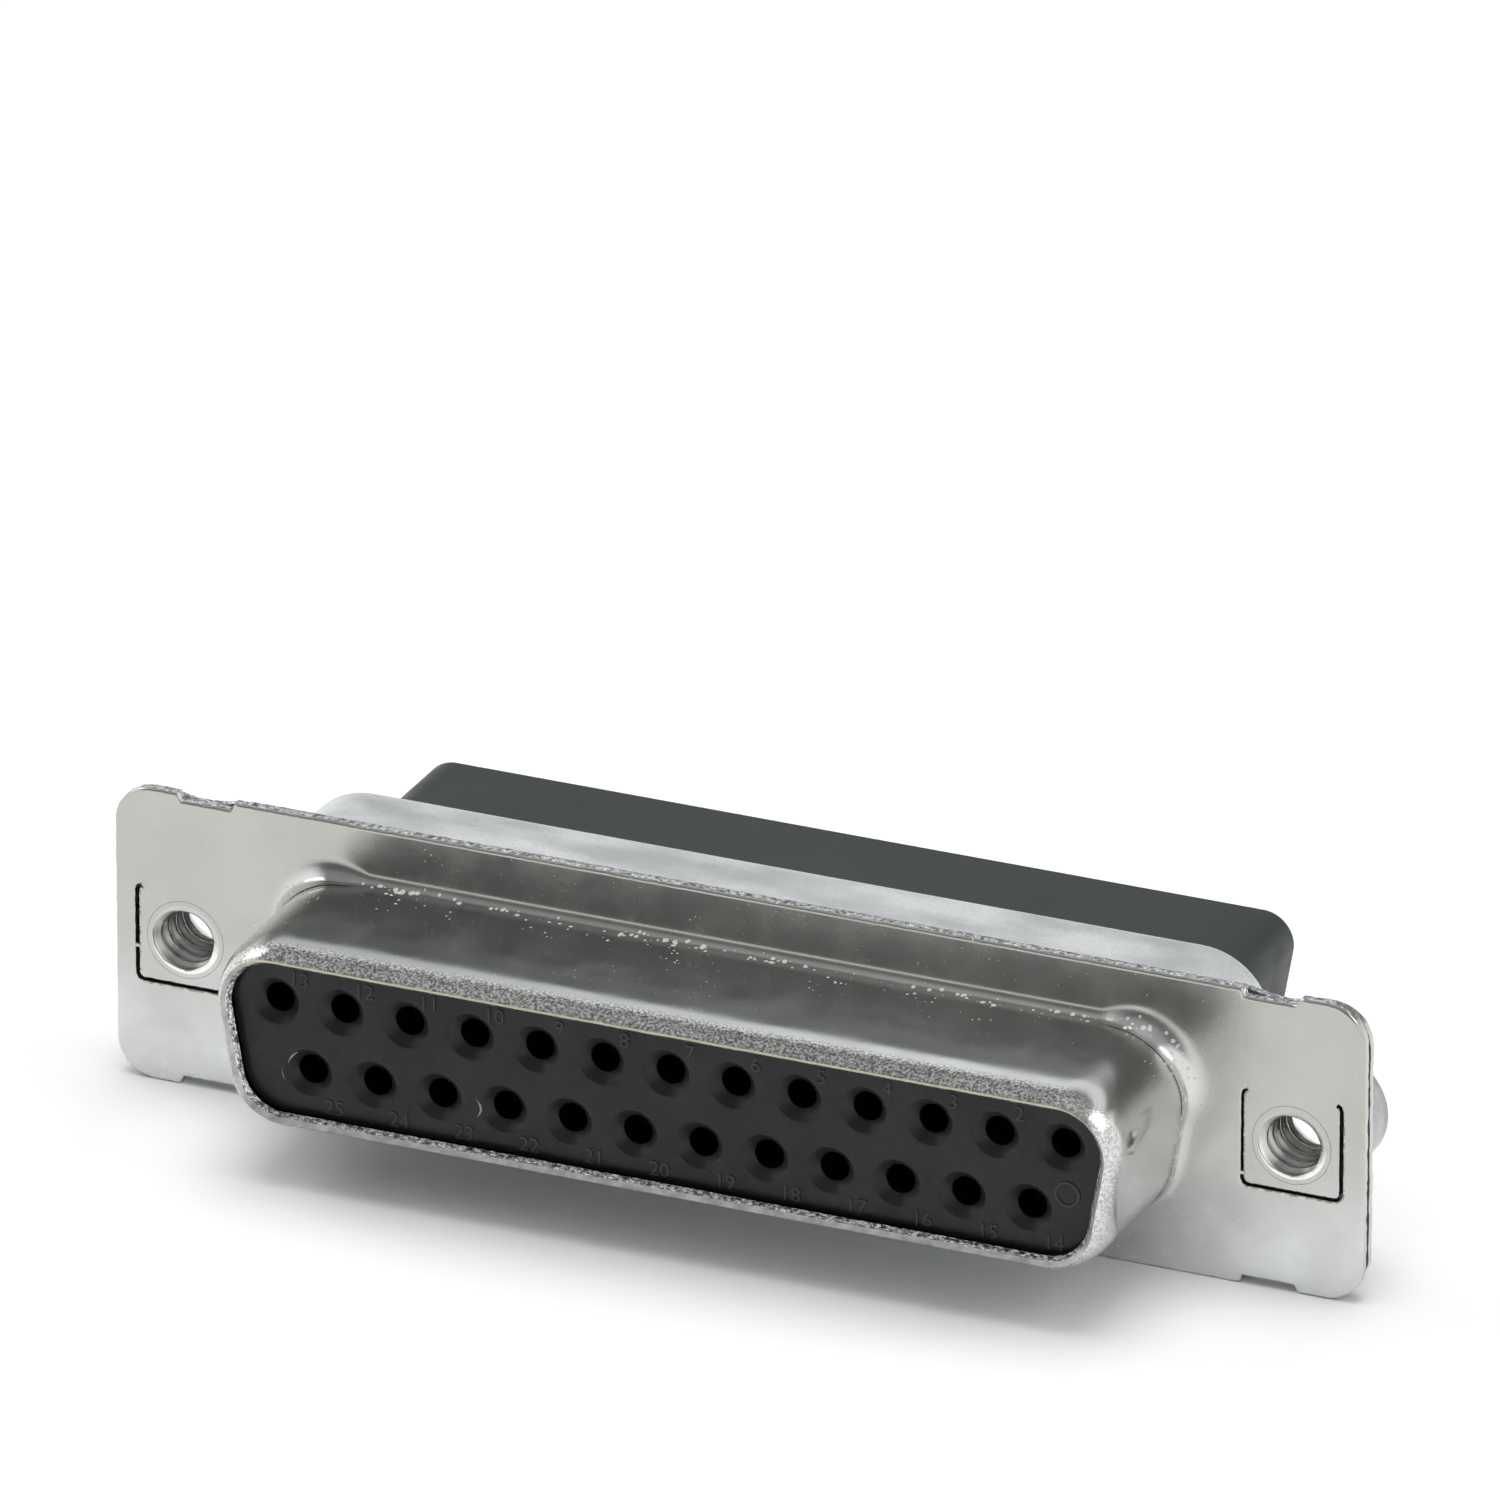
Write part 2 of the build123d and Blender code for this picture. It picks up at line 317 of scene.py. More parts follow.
mesh = bmesh.new()
mesh.from_mesh(grow_at_points([(x, -face_depth, z) for x, z in entry_places],
                              make_lining_tree(entry_steps, black_plastic), entry_sizes))
front_rings = [edge for edge in mesh.edges if edge.is_boundary and edge.verts[0].co.y < 0]
back_rings = [edge for edge in mesh.edges if edge.is_boundary and edge.verts[0].co.y > 0]
bends = [math.pi / 2 * k / 7 for k in range(8)]
nose = [(insulator_inset + face_edge + 0.12, -face_depth)]
nose += [(insulator_inset + face_edge * (1 - math.sin(t)), -face_depth + face_edge * (1 - math.cos(t)))
         for t in bends]
nose += [(insulator_inset, -5.9), (insulator_inset, sheet - 0.1), (insulator_inset, sheet)]
loops = [add_loop(mesh, dee(tube_size, inset), depth) for inset, depth in nose]
loops += [add_loop(mesh, dee(box_size, inset), depth)
          for inset, depth in ((insulator_inset + 0.1, sheet), (insulator_inset, sheet + 0.1),
                               (insulator_inset, split_depth), (insulator_inset + 0.1, split_depth))]
wall(mesh, loops)
fill(mesh, ring(mesh, loops[0]) + front_rings)
fill(mesh, ring(mesh, loops[-1]) + back_rings)
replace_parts(finish_piece("front_moulding", mesh, [black_plastic], 35), "front_insulator")

# The contact numbers beside the entries and the ring mark near the right end are moulded with the face.
# They are coloured in patches a little greyer than it.
digit_plastic, nodes, links, shader, place = start_material("grey_digit_plastic", (0.045, 0.05, 0.049), 0.4)
links.new(add_mix(nodes, links, add_noise(nodes, links, place, 0.3, 3),
                  (0.010, 0.012, 0.012), (0.042, 0.047, 0.046)), shader.inputs["Base Color"])
mesh = bmesh.new()
for number, (x, z) in enumerate(entry_places, start=1):
    across, up = (1.0, 1.05) if z > 0 else (1.09, -1.34)
    if x + across < 17.6:
        raise_digits(mesh, str(number), x + across, z + up, -face_depth, 0.62, 0.05)
ring_place = (16.86, -0.556)
loops = [add_loop(mesh, circle(*ring_place, radius), -face_depth - proud)
         for radius, proud in ((0.55, -0.01), (0.55, 0.03), (0.53, 0.05),
                               (0.44, 0.05), (0.42, 0.03), (0.42, -0.01))]
wall(mesh, loops + loops[:1])
finish_piece("contact_numbers", mesh, [digit_plastic])

# Small flakes of flash cling to the face beside two entries of the narrow row.
flash, nodes, links, shader, place = start_material("pale_flash", (0.30, 0.34, 0.32), 0.4)
links.new(add_mix(nodes, links, add_noise(nodes, links, place, 0.12, 3),
                  (0.22, 0.25, 0.24), (0.92, 0.95, 0.93)), shader.inputs["Base Color"])
mesh = bmesh.new()
for x, z, radius, start, stop, width in ((-8.365, -1.61, 0.46, -56, 58, 0.09),
                                         (-15.235, -1.42, 0.93, 118, 165, 0.07),
                                         (-15.235, -1.42, 1.16, 180, 208, 0.05)):
    sections = []
    for k in range(13):
        turn = math.radians(start + (stop - start) * k / 12)
        half = width / 2 * (0.12 + math.sin(math.pi * k / 12))
        across = [(x + r * math.cos(turn), z + r * math.sin(turn))
                  for r in (radius - half, radius, radius + half)]
        sections.append([mesh.verts.new((px * mm, (-face_depth + lift) * mm, pz * mm))
                         for (px, pz), lift in zip(across, (0.01, -0.01 - half, 0.01))])
    wall(mesh, sections)
    mesh.faces.new(sections[0])
    mesh.faces.new(sections[-1])
finish_piece("face_flash", mesh, [flash])

# The socket contacts are turned from brass and gold plated, one in each cavity behind the closed entries.
# Their mouths are painted near black, as painted shade, so the entries look black.
gold, nodes, links, shader, place = start_material("gold_plate", (0.86, 0.62, 0.25), 0.25, 1.0)
plate = add_mix(nodes, links, add_noise(nodes, links, place, 0.8, 3), (0.80, 0.56, 0.21), (0.90, 0.67, 0.30))
axes = nodes.new("ShaderNodeSeparateXYZ")
links.new(place, axes.inputs["Vector"])
# mouth darkens the front of each contact: painted shade inside the entry.
mouth = add_range(nodes, links, axes.outputs["Y"], -4.2 * mm, -3.2 * mm, 1.0, 0.0)
links.new(add_mix(nodes, links, mouth, plate, (0.05, 0.042, 0.03)), shader.inputs["Base Color"])
links.new(add_range(nodes, links, add_noise(nodes, links, place, 0.3, 3), 0.3, 0.7, 0.18, 0.36),
          shader.inputs["Roughness"])
add_bump(nodes, links, shader, add_noise(nodes, links, place, 0.05, 2, (0.05, 1, 0.05)), 0.003)
for number in range(1, len(entry_places) + 1):
    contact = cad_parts[f"socket_contact_{number:02d}"]
    contact.data.materials.clear()
    contact.data.materials.append(gold)

# The rear insulator is a second black moulding. Its long boss holds the crimped ends of the contacts, and
# the contact numbers stand proud beside the wire entries in its end.
boss_end = 12.24
rear_plastic, nodes, links, shader, place = start_material("black_plastic_rear", (0.03, 0.033, 0.033), 0.5)
cloud = add_noise(nodes, links, place, 6.0, 3)
links.new(add_mix(nodes, links, cloud, (0.026, 0.032, 0.033), (0.042, 0.049, 0.051)),
          shader.inputs["Base Color"])
links.new(add_range(nodes, links, add_noise(nodes, links, place, 2.0, 4), 0.35, 0.65, 0.42, 0.58),
          shader.inputs["Roughness"])
texture = add_bump(nodes, links, shader, add_noise(nodes, links, place, 0.15, 3), 0.006)
add_bump(nodes, links, shader, add_noise(nodes, links, place, 3.0, 2), 0.03, texture)
rear_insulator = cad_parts["rear_insulator"]
rear_insulator.data.materials.clear()
rear_insulator.data.materials.append(rear_plastic)
mesh = bmesh.new()
for number, (x, z) in enumerate(entry_places, start=1):
    raise_digits(mesh, str(number), x, z + math.copysign(1.68, z), boss_end, 0.55, 0.05, turned=True)
finish_piece("wire_entry_numbers", mesh, [rear_plastic])

# The front shell is stamped from tin-plated steel sheet. A D tube is drawn out of its flange and its rim is
# bent inward. A tab round each screw hole is lanced free. The sheet's cut edges show rough and grey, and along
# the top of the rim they are painted light yellow, a painted highlight with a yellow tint.
flange_length, flange_height, flange_corner = 53.04, 12.55, 1.6
recess_place, recess_length, recess_depth = 22.58, 2.3, 0.32
tube_straight, rim_radius, rim_bend, tube_base_radius = 6.13, 1.4, 50.0, 0.45
roll_start, roll_reach, roll_drop, roll_turn = 5.2, 2.07, 0.675, 75.0
corner_place, corner_rise, corner_reach, corner_softness = 17.7, 2.5, 2.6, 1.8
swell_length, swell_run, swell_height = 3.1, 2.6, 0.016
screw_places = {"left": -23.52, "right": 23.52}
neck_hole_radius = 1.65
tab_width, tab_height = 4.14, 4.03
burr_length = 0.16
wobble = random.Random(5)


def divide(points, step, closed=True):
    """The same outline with a point at least every step along it."""
    result = []
    ends = points[1:] + points[:1] if closed else points[1:]
    for (x, z), (end_x, end_z) in zip(points, ends):
        count = max(1, math.ceil(math.hypot(end_x - x, end_z - z) / step))
        result += [(x + (end_x - x) * k / count, z + (end_z - z) * k / count) for k in range(count)]
    return result if closed else result + [points[-1]]


def grow(points, amount):
    """A counter-clockwise outline moved outward by the amount."""
    result = []
    for k, (x, z) in enumerate(points):
        before, after = points[k - 1], points[(k + 1) % len(points)]
        a = Vector((x - before[0], z - before[1])).normalized()
        b = Vector((after[0] - x, after[1] - z)).normalized()
        across = Vector((a.y + b.y, -a.x - b.x))
        reach = amount / max(0.35, (1 + a.dot(b)) / 2) / 2
        result.append((x + across.x * reach, z + across.y * reach))
    return result


def roughen(points, amount):
    """The outline with small seeded steps, as a sheared edge has."""
    return [(x + wobble.uniform(-amount, amount), z + wobble.uniform(-amount, amount)) for x, z in points]


def sheared_edge(mesh, outline, front, back):
    """The edge of a sheet round its outline. Returns the rings that its front and back faces start from."""
    even = divide(outline, 0.22)
    rough = roughen(even, 0.018)
    loops = [add_loop(mesh, grow(points, -reach), depth) for points, reach, depth in
             ((even, 0.17, front), (even, 0.1, front), (rough, 0.05, front + 0.015),
              (rough, 0.015, front + 0.05), (rough, 0, front + 0.12), (rough, 0, back - 0.08),
              (rough, 0.02, back - 0.02), (even, 0.08, back), (even, 0.17, back))]
    # The rounded edge on the side that meets the other sheet takes material 3, painted shade in the groove.
    wall(mesh, loops[:5], 0 if front < sheet else 3)
    wall(mesh, loops[4:6], 2)
    wall(mesh, loops[5:], 3 if front < sheet else 0)
    return ring(mesh, loops[0]), ring(mesh, loops[-1])


def punched_hole(mesh, outline, front, back, soft):
    """The edge of a hole in a sheet, drawn in softly at the front. Returns its front and back rings."""
    area = sum(a[0] * b[1] - b[0] * a[1] for a, b in zip(outline, outline[1:] + outline[:1]))
    even = outline if area > 0 else outline[::-1]
    rough = roughen(even, 0.25 * soft)
    loops = [add_loop(mesh, grow(points, reach), depth) for points, reach, depth in
             ((even, 2 * soft, front), (even, soft, front), (rough, 0.3 * soft, front + 0.3 * soft),
              (rough, 0, front + 1.1 * soft), (rough, 0, back - 0.02), (even, 0.02, back),
              (even, 0.05, back))]
    # Slits get a painted highlight on their lower lips, material 4, and painted shade on their walls, material 3.
    is_slit = soft > 0.02
    for k, face in enumerate(wall(mesh, loops[:4])):
        outward = loops[0][k % len(even)].co - loops[3][k % len(even)].co
        if is_slit and outward.z - 0.5 * outward.x < -soft * mm:
            face.material_index = 4
    wall(mesh, loops[3:5], 3 if is_slit else 0)
    wall(mesh, loops[4:])
    return ring(mesh, loops[0]), ring(mesh, loops[-1])


def flange_outline(height, recess):
    """A flange's outline, counter-clockwise. The recess's points run outward, as x and depth."""
    x_end, z_end = flange_length / 2, height / 2
    points = []
    for x_side, z_side, start in ((1, -1, -90), (1, 1, 0), (-1, 1, 90), (-1, -1, 180)):
        near = [(x_side * x, z_side * (z_end - depth)) for x, depth in recess]
        turns = [math.radians(start + 90 * k / 14) for k in range(15)]
        bend = [(x_side * (x_end - flange_corner) + flange_corner * math.cos(t),
                 z_side * (z_end - flange_corner) + flange_corner * math.sin(t)) for t in turns]
        points += near + bend if start in (-90, 90) else bend + near[::-1]
    return points


def slit_outline(path, width):
    """The outline of a slit along an open path."""
    path = divide(path, 0.1, closed=False)
    sides = [[], []]
    for k, (x, z) in enumerate(path):
        before, after = path[max(k - 1, 0)], path[min(k + 1, len(path) - 1)]
        along = Vector((after[0] - before[0], after[1] - before[1])).normalized()
        for side, sign in zip(sides, (1, -1)):
            side.append((x + sign * along.y * width / 2, z - sign * along.x * width / 2))
    return sides[0] + sides[1][::-1]


def tab_slits(side):
    """The slits that free a tab. Their ends hook inward, and a burr ties the left slit part way down."""
    x = screw_places[side]
    left, right = x - tab_width / 2, x + tab_width / 2
    high, low = tab_height / 2, -tab_height / 2
    burr = {"left": -0.6, "right": -1.55}[side]
    start = [(left + 0.2, high + 0.02), (left + 0.06, high - 0.05), (left, high - 0.22),
             (left, burr + burr_length / 2)]
    rest = [(left, burr - burr_length / 2), (left, low + 0.25), (left + 0.08, low + 0.08),
            (left + 0.25, low)]
    if side == "left":
        rest += [(right - 0.1, low), (right, low - 0.04)]
        return [slit_outline(start, 0.17), slit_outline(rest, 0.16)]
    rest += [(right - 0.25, low), (right - 0.08, low + 0.08), (right, low + 0.25),
             (right, high - 0.22), (right - 0.06, high - 0.05), (right - 0.2, high + 0.02)]
    return [slit_outline(start, 0.1), slit_outline(rest, 0.15)]


def tube_profile():
    """Inset and depth of the drawn tube: outside from the flange to the rim, and inside from the rim back."""
    quarter = [math.pi / 2 * k / 8 for k in range(9)]
    bend = [math.radians(rim_bend) * k / 12 for k in range(13)]
    outside = [(-tube_base_radius - 0.2, 0.0)]
    outside += [(tube_base_radius * (math.sin(t) - 1), tube_base_radius * (math.cos(t) - 1)) for t in quarter]
    outside += [(0, -tube_base_radius - (roll_start - tube_base_radius) * k / 18) for k in range(1, 18)]
    outside += [(roll_drop * (1 - math.cos(t)), -roll_start - roll_reach * math.sin(t))
                for t in (math.radians(roll_turn) * k / 18 for k in range(19))]
    inner = rim_radius - sheet
    inside = [(rim_radius - inner * math.cos(t), -tube_straight - inner * math.sin(t)) for t in bend[::-1]]
    inside += [(sheet, -tube_base_radius - (tube_straight - tube_base_radius) * k / 8)
               for k in range(7, 0, -1)]
    mouth = tube_base_radius + sheet
    inside += [(-tube_base_radius + mouth * math.sin(t), -tube_base_radius + mouth * math.cos(t))
               for t in quarter[::-1]]
    inside += [(-tube_base_radius - 0.3, sheet)]
    return outside, inside


def add_tin_relief(nodes, links, shader, place):
    """The plated skin: a faint grain over soft waves from the drawing."""
    waves = add_bump(nodes, links, shader, add_noise(nodes, links, place, 0.9, 2), 0.004)
    return add_bump(nodes, links, shader, add_noise(nodes, links, place, 0.09, 3), 0.001, waves)


tin, nodes, links, shader, place = start_material("tin_plate", (0.64, 0.64, 0.62), 0.17, 1.0)
cloud = add_noise(nodes, links, place, 2.2, 4)
axes = nodes.new("ShaderNodeSeparateXYZ")
links.new(place, axes.inputs["Vector"])
rim_share = add_range(nodes, links, axes.outputs["Y"], -6.1 * mm, -6.5 * mm, 0.0, 1.0)
flange_share = add_range(nodes, links, axes.outputs["Y"], -0.3 * mm, -0.02 * mm, 0.0, 1.0)
base_share = add_range(nodes, links, axes.outputs["Y"], -3.0 * mm, -0.5 * mm, 0.35, 1.0)
# The tube is painted darker at the left end and lighter at the right: a painted reflection.
across = add_range(nodes, links, axes.outputs["X"], -13 * mm, 13 * mm, 0.0, 1.0)
color = add_mix(nodes, links, across, (0.44, 0.465, 0.455), (0.72, 0.75, 0.735))
color = add_mix(nodes, links, add_range(nodes, links, cloud, 0.35, 0.65, 0.0, 0.3), color, (0.62, 0.64, 0.62))
patch = add_range(nodes, links, add_noise(nodes, links, place, 3.2, 5), 0.35, 0.65, 0.0, 1.0)
# The flange ears are painted lighter and bluer towards the bottom: a painted reflection of the table.
painted_low_reflection = add_range(nodes, links, axes.outputs["Z"], 0.5 * mm, -4.5 * mm, 0.0, 1.0)
ear = add_mix(nodes, links, painted_low_reflection, (0.525, 0.525, 0.498), (0.74, 0.76, 0.765))
ear = add_mix(nodes, links, add_math(nodes, links, "MULTIPLY", patch, 0.5), ear, (0.465, 0.46, 0.432))
color = add_mix(nodes, links, flange_share, color, ear)
from_middle = add_math(nodes, links, "ABSOLUTE", axes.outputs["X"], 0)
end_share = add_range(nodes, links, from_middle, 16.6 * mm, 18.0 * mm, 0.0, 1.0)
end_share = add_math(nodes, links, "MULTIPLY", end_share,
                     add_range(nodes, links, flange_share, 0.0, 1.0, 1.0, 0.0))
color = add_mix(nodes, links, end_share, color, (0.68, 0.685, 0.67))
speckle = add_range(nodes, links, add_noise(nodes, links, place, 0.11, 3), 0.38, 0.62, 0.0, 1.0)
speckle = add_mix(nodes, links, speckle, (0.22, 0.225, 0.22), (0.90, 0.91, 0.89))
coarse_share = add_math(nodes, links, "MULTIPLY", rim_share,
                        add_range(nodes, links, end_share, 0.0, 1.0, 1.0, 0.45))
color = add_mix(nodes, links, coarse_share, color, speckle)
# White specks, thickest near the flange and in a dotted line along the tube's base fillet, are painted glints.
cells = nodes.new("ShaderNodeTexVoronoi")
cells.inputs["Scale"].default_value = 1 / (0.23 * mm)
links.new(place, cells.inputs["Vector"])
odds = nodes.new("ShaderNodeSeparateXYZ")
links.new(cells.outputs["Color"], odds.inputs["Vector"])
cluster = add_range(nodes, links, add_noise(nodes, links, place, 2.4, 3), 0.38, 0.58, 0.06, 0.36)
painted_glint_line = add_math(nodes, links, "MULTIPLY",
                      add_range(nodes, links, axes.outputs["Y"], -0.75 * mm, -0.5 * mm, 0, 1),
                      add_range(nodes, links, axes.outputs["Y"], -0.2 * mm, -0.08 * mm, 1.0, 0.0))
painted_glint_line = add_math(nodes, links, "MULTIPLY", painted_glint_line,
                      add_range(nodes, links, add_noise(nodes, links, place, 5.0, 1), 0.38, 0.5, 0.0, 0.42))
size = add_math(nodes, links, "MULTIPLY", cluster, base_share)
size = add_math(nodes, links, "ADD", size, painted_glint_line)
size = add_math(nodes, links, "MULTIPLY", size,
                add_range(nodes, links, odds.outputs["X"], 0.35, 0.95, 0.0, 1.0))
size = add_math(nodes, links, "MULTIPLY", size, add_range(nodes, links, flange_share, 0.0, 1.0, 1.0, 0.55))
speck = add_math(nodes, links, "SUBTRACT", size, cells.outputs["Distance"])
speck = add_range(nodes, links, speck, 0.0, 0.04, 0.0, 1.0)
links.new(add_mix(nodes, links, speck, color, (0.95, 0.95, 0.93)), shader.inputs["Base Color"])
links.new(add_range(nodes, links, speck, 0.0, 1.0, 1.0, 0.25), shader.inputs["Metallic"])
even = add_range(nodes, links, cloud, 0.35, 0.65, 0.12, 0.2)
even = add_math(nodes, links, "ADD", even, add_math(nodes, links, "MULTIPLY", flange_share, 0.08))
links.new(add_math(nodes, links, "ADD", even, add_math(nodes, links, "MULTIPLY", speck, 0.3)),
          shader.inputs["Roughness"])
skin = add_tin_relief(nodes, links, shader, place)
peel = add_math(nodes, links, "MULTIPLY", rim_share, add_noise(nodes, links, place, 0.07, 2))
add_bump(nodes, links, shader, peel, 0.007, skin)

cut_edge, nodes, links, shader, place = start_material("sheared_edge", (0.85, 0.77, 0.55), 0.4, 0.45)
shade = add_noise(nodes, links, place, 0.5, 4)
axes = nodes.new("ShaderNodeSeparateXYZ")
links.new(place, axes.inputs["Vector"])
# Along the top, the cut edge is painted light yellow and less metallic: a painted highlight with a yellow tint.
painted_top_highlight = add_math(nodes, links, "MULTIPLY",
                 add_range(nodes, links, axes.outputs["Z"], 1.5 * mm, 3.0 * mm, 0.0, 1.0),
                 add_range(nodes, links, add_math(nodes, links, "ABSOLUTE", axes.outputs["X"], 0),
                           17.0 * mm, 18.4 * mm, 1.0, 0.0))
color = add_mix(nodes, links, add_range(nodes, links, shade, 0.35, 0.65, 0, 1),
                (0.52, 0.52, 0.50), (0.80, 0.81, 0.80))
links.new(add_mix(nodes, links, painted_top_highlight, color, (0.98, 0.92, 0.68)), shader.inputs["Base Color"])
links.new(add_range(nodes, links, painted_top_highlight, 0.0, 1.0, 0.45, 0.1), shader.inputs["Metallic"])
add_bump(nodes, links, shader, add_noise(nodes, links, place, 0.12, 3), 0.008)

torn_edge, nodes, links, shader, place = start_material("torn_edge", (0.60, 0.62, 0.62), 0.22, 1.0)
axes = nodes.new("ShaderNodeSeparateXYZ")
links.new(place, axes.inputs["Vector"])
from_middle = add_math(nodes, links, "ABSOLUTE", axes.outputs["X"], 0)
end_share = add_range(nodes, links, from_middle, 25.0 * mm, 26.3 * mm, 0.0, 1.0)
shade = add_noise(nodes, links, place, 0.2, 3)
torn = add_mix(nodes, links, add_range(nodes, links, shade, 0.36, 0.58, 0, 1),
               (0.18, 0.19, 0.20), (0.94, 0.97, 0.98))
links.new(add_mix(nodes, links, end_share, torn, (0.55, 0.55, 0.53)), shader.inputs["Base Color"])
relief = add_math(nodes, links, "MULTIPLY", add_noise(nodes, links, place, 0.15, 4),
                  add_range(nodes, links, end_share, 0.0, 1.0, 1.0, 0.08))
add_bump(nodes, links, shader, relief, 0.12)

# The walls of the slits, and the rounded edges where the two sheets meet, are painted dark: painted shade.
painted_shade_wall, nodes, links, shader, place = start_material("painted_shade_wall", (0.05, 0.048, 0.045), 0.5, 0.6)
links.new(add_mix(nodes, links, add_noise(nodes, links, place, 0.3, 3),
                  (0.02, 0.02, 0.018), (0.09, 0.085, 0.075)), shader.inputs["Base Color"])
# The lower lips of the slits are painted light: a painted highlight.
lip_highlight, nodes, links, shader, place = start_material("slit_lip_highlight", (0.85, 0.84, 0.80), 0.35, 0.3)
shade = add_range(nodes, links, add_noise(nodes, links, place, 0.35, 3), 0.42, 0.58, 0.0, 1.0)
links.new(add_mix(nodes, links, shade, (0.42, 0.41, 0.38), (0.95, 0.94, 0.90)), shader.inputs["Base Color"])

recess_edge = recess_place - recess_length / 2
recess = [(recess_edge - 0.06, 0), (recess_edge + 0.06, recess_depth),
          (recess_edge + recess_length - 0.1, recess_depth), (recess_edge + recess_length + 0.1, 0)]
mesh = bmesh.new()
front_rings, back_rings = sheared_edge(mesh, flange_outline(flange_height, recess), 0, sheet)
holes = [(circle(x, 0, neck_hole_radius), 0.005) for x in screw_places.values()]
holes += [(slit, 0.04) for side in screw_places for slit in tab_slits(side)]
for outline, soft in holes:
    front_ring, back_ring = punched_hole(mesh, outline, 0, sheet, soft)
    front_rings += front_ring
    back_rings += back_ring
outer_loops, inner_loops = [], []
plain_dee, smaller_dee = dee(tube_size), dee(tube_size, 1.0)
corner_shares = [max(0.0, 1 - (math.hypot(abs(x) - corner_place, z - corner_rise) / corner_reach) ** 2)
                 for x, z in plain_dee]
for loops, profile in zip((outer_loops, inner_loops), tube_profile()):
    for inset, depth in profile:
        strength = min(1.0, max(0.0, -(depth + 0.5) / 2)) * swell_height
        moved = []
        for (x, z), (small_x, small_z), corner_share in zip(plain_dee, smaller_dee, corner_shares):
            soft = 1 + corner_softness * corner_share if loops is outer_loops and inset < 0 else 1
            x, z = x + (small_x - x) * inset * soft, z + (small_z - z) * inset * soft
            swell = noise.noise(Vector((x / swell_length, depth / swell_run, z / swell_length))) * strength
            away = Vector((x * tube_size[1] / tube_size[0], z)).normalized()
            lean = depth * (soft - 1) if depth > -tube_base_radius - 0.01 else 0
            moved.append((x + away.x * swell, depth + lean, z + away.y * swell))
        loops.append([mesh.verts.new(Vector(point) * mm) for point in moved])
wall(mesh, outer_loops)
wall(mesh, inner_loops)
rim_loops = [outer_loops[-1]]
for share in (0.1, 0.5, 0.9):
    loop = []
    for first, second in zip(outer_loops[-1], inner_loops[0]):
        point = first.co.lerp(second.co, share) / mm
        proud = 0.02 * (1 - abs(2 * share - 1)) + wobble.uniform(0, 0.014)
        inward = math.copysign(0.6 * proud, point.z)
        loop.append(mesh.verts.new(Vector((point.x, point.y - proud, point.z - inward)) * mm))
    rim_loops.append(loop)
wall(mesh, rim_loops[:3], 1)
wall(mesh, rim_loops[2:] + [inner_loops[0]], 2)
fill(mesh, front_rings + ring(mesh, outer_loops[0]))
fill(mesh, back_rings + ring(mesh, inner_loops[-1]))
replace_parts(finish_piece("front_shell_skin", mesh, [tin, cut_edge, torn_edge, painted_shade_wall, lip_highlight]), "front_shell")

# The rear shell is a second tin-plated sheet against the first, with a duller finish. A D box that holds
# both insulators is drawn backward out of it, and its end is turned in round the long boss.
rear_height, rear_recess_length, rear_recess_depth = 12.1, 3.0, 0.25
box_end, box_end_radius, box_base_radius = 5.45, 0.7, 0.4
boss_size, boss_gap = (37.34, 7.70, 1.4), 0.12
notch_place, notch_half = -21.3, 0.23

dull_tin, nodes, links, shader, place = start_material("dull_tin_plate", (0.83, 0.845, 0.85), 0.45, 0.5)
cloud = add_range(nodes, links, add_noise(nodes, links, place, 1.6, 5, (0.4, 1, 1)), 0.35, 0.65, 0.0, 1.0)
grain = add_range(nodes, links, add_noise(nodes, links, place, 0.12, 2), 0.4, 0.6, 0.0, 1.0)
color = add_mix(nodes, links, cloud, (0.72, 0.75, 0.755), (0.90, 0.915, 0.92))
links.new(add_mix(nodes, links, add_math(nodes, links, "MULTIPLY", grain, 0.25), color, (0.55, 0.58, 0.59)),
          shader.inputs["Base Color"])
links.new(add_range(nodes, links, cloud, 0.0, 1.0, 0.34, 0.5), shader.inputs["Roughness"])
add_tin_relief(nodes, links, shader, place)

rear_recess = [(recess_edge + rear_recess_length * k / 12, rear_recess_depth * (1 - (k / 6 - 1) ** 2))
               for k in range(13)]
outline = flange_outline(rear_height, rear_recess)
notch_start = outline.index((-recess_edge, rear_height / 2))
outline[notch_start:notch_start + 1] = [(notch_place + notch_half, rear_height / 2),
                                        (notch_place, rear_height / 2 - notch_half),
                                        (notch_place - notch_half + 0.03, rear_height / 2 - 0.03)]
mesh = bmesh.new()
front_rings, back_rings = sheared_edge(mesh, outline, sheet, 2 * sheet)
for x in screw_places.values():
    front_ring, back_ring = punched_hole(mesh, circle(x, 0, neck_hole_radius), sheet, 2 * sheet, 0.015)
    front_rings += front_ring
    back_rings += back_ring
quarter = [math.pi / 2 * k / 8 for k in range(9)]
outside = [(-box_base_radius - 0.05, 2 * sheet)]
outside += [(box_base_radius * (math.sin(t) - 1), 2 * sheet + box_base_radius * (1 - math.cos(t)))
            for t in quarter]
outside += [(0, 2.2), (0, 3.4)]
outside += [(box_end_radius * (1 - math.cos(t)), box_end - box_end_radius * (1 - math.sin(t)))
            for t in quarter]
outside += [(box_end_radius + 0.15, box_end)]
inner = box_end_radius - sheet
inside = [(box_end_radius + 0.15, box_end - sheet)]
inside += [(box_end_radius - inner * math.cos(t), box_end - box_end_radius + inner * math.sin(t))
           for t in quarter[::-1]]
inside += [(sheet, 3.0)]
mouth = box_base_radius + sheet
inside += [(mouth * math.sin(t) - box_base_radius, sheet + mouth * (1 - math.cos(t))) for t in quarter[::-1]]
inside += [(-box_base_radius - 0.05, sheet)]
outer_loops = [add_loop(mesh, dee(box_size, inset), depth) for inset, depth in outside]
